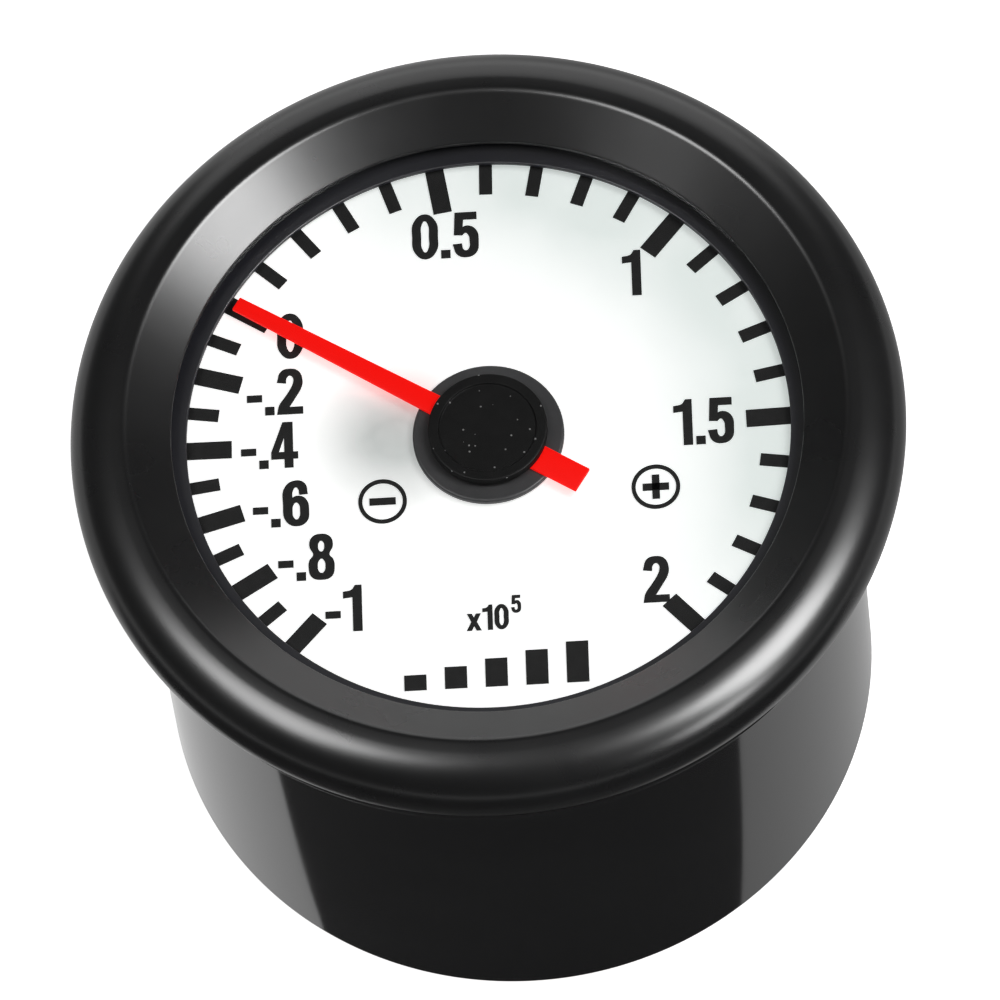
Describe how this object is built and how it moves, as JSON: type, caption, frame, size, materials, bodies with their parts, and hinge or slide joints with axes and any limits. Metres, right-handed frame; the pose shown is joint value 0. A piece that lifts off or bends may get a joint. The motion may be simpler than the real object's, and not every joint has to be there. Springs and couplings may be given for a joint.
{
  "type": "vacuum and boost gauge",
  "caption": "Round panel gauge with a lit white dial, red needle and glossy black barrel; a curved pressure tube turns the needle through a sector and pinion.",
  "frame": {"origin": "on the barrel's axis, in the plane where the flange seats on the panel", "axes": "+Z along the barrel and out through the dial, +Y towards the dial's twelve o'clock, +X to the right seen from the front"},
  "size_m": [0.06, 0.06, 0.061],
  "materials": {
    "barrel_gloss": "glossy black moulded plastic",
    "bezel_satin": "satin black paint on aluminium",
    "seal_rubber": "dull black rubber",
    "lens_clear": "clear moulded lens",
    "trim_black": "dark matt plastic with a bluish cast",
    "dial_white": "translucent white sheet, printed",
    "print_black": "screen-printed black ink",
    "guide_clear": "clear acrylic",
    "board_green": "circuit board",
    "lamp_yellow": "lamp bodies",
    "board_parts": "black chip resistors",
    "tray_white": "white moulded plastic",
    "needle_red": "bright red, slightly translucent",
    "hub_grey": "dark grey moulded plastic",
    "hub_black": "black moulded plastic",
    "steel": "turned steel",
    "brass": "cut brass",
    "spring_bronze": "phosphor bronze strip",
    "tube_bronze": "drawn phosphor bronze",
    "zinc": "zinc plated steel",
    "copper_washer": "soft copper"
  },
  "bodies": {
    "housing": {"barrel": "barrel_gloss", "bezel": "bezel_satin", "bezel_seal": "seal_rubber", "lens": "lens_clear", "lens_gasket": "seal_rubber", "trim_ring": "trim_black", "dial_plate": "dial_white", "scale_marks": "print_black", "scale_numbers": "print_black", "dial_signs": "print_black", "light_guide": "guide_clear", "lamp_board": "board_green", "lamps": "lamp_yellow", "lamp_resistors": "board_parts", "lamp_tray": "tray_white", "hairspring": "spring_bronze", "hairspring_stud": "brass", "pressure_tube": "tube_bronze", "socket_block": "brass", "front_plate": "brass", "back_plate": "brass", "plate_pillars": "brass", "plate_screws": "steel", "arbor_bushes": "brass", "movement_screws": "steel", "block_screws": "zinc", "port_washer": "copper_washer", "port_nut": "brass", "hose_tail": "brass", "mounting_studs": "zinc", "stud_washers": "zinc", "stud_nuts": "zinc", "lead_grommet": "seal_rubber"},
    "pointer": {"needle": "needle_red", "hub_skirt": "hub_grey", "hub_cap": "hub_black", "pointer_arbor": "steel", "pinion": "brass", "hairspring_collet": "brass"},
    "sector": {"sector_gear": "brass", "sector_arbor": "steel", "tail_pin": "steel"},
    "tip": {"tube_tip": "brass", "tip_pin": "steel"},
    "link": {"link": "brass"}
  },
  "joints": [
    {"name": "sector_swing", "type": "hinge", "parent": "housing", "child": "sector", "pos_m": [0.00776, -0.01068, 0], "axis": [0, 0, 1], "range_deg": [-8, 19.5], "stiffness_Nm_per_rad": 0.0036},
    {"name": "pointer_turn", "type": "hinge", "parent": "housing", "child": "pointer", "pos_m": [0, 0, 0], "axis": [0, 0, 1], "range_deg": [-195, 80], "deforming": ["hairspring"]},
    {"name": "tip_flex", "type": "hinge", "parent": "housing", "child": "tip", "pos_m": [-0.00247, 0.00399, 0], "axis": [0, 0, 1], "range_deg": [-1.81, 4.4], "deforming": ["pressure_tube"]},
    {"name": "link_turn", "type": "hinge", "parent": "tip", "child": "link", "pos_m": [0.01589, -0.00845, 0], "axis": [0, 0, 1], "range_deg": [-5.87, 2.41]}
  ],
  "couplings": [
    {"joint": "pointer_turn", "follows": "sector_swing", "ratio": -10},
    {"joint": "tip_flex", "follows": "sector_swing", "ratio": 0.2258},
    {"joint": "link_turn", "follows": "sector_swing", "ratio": -0.30084}
  ]
}
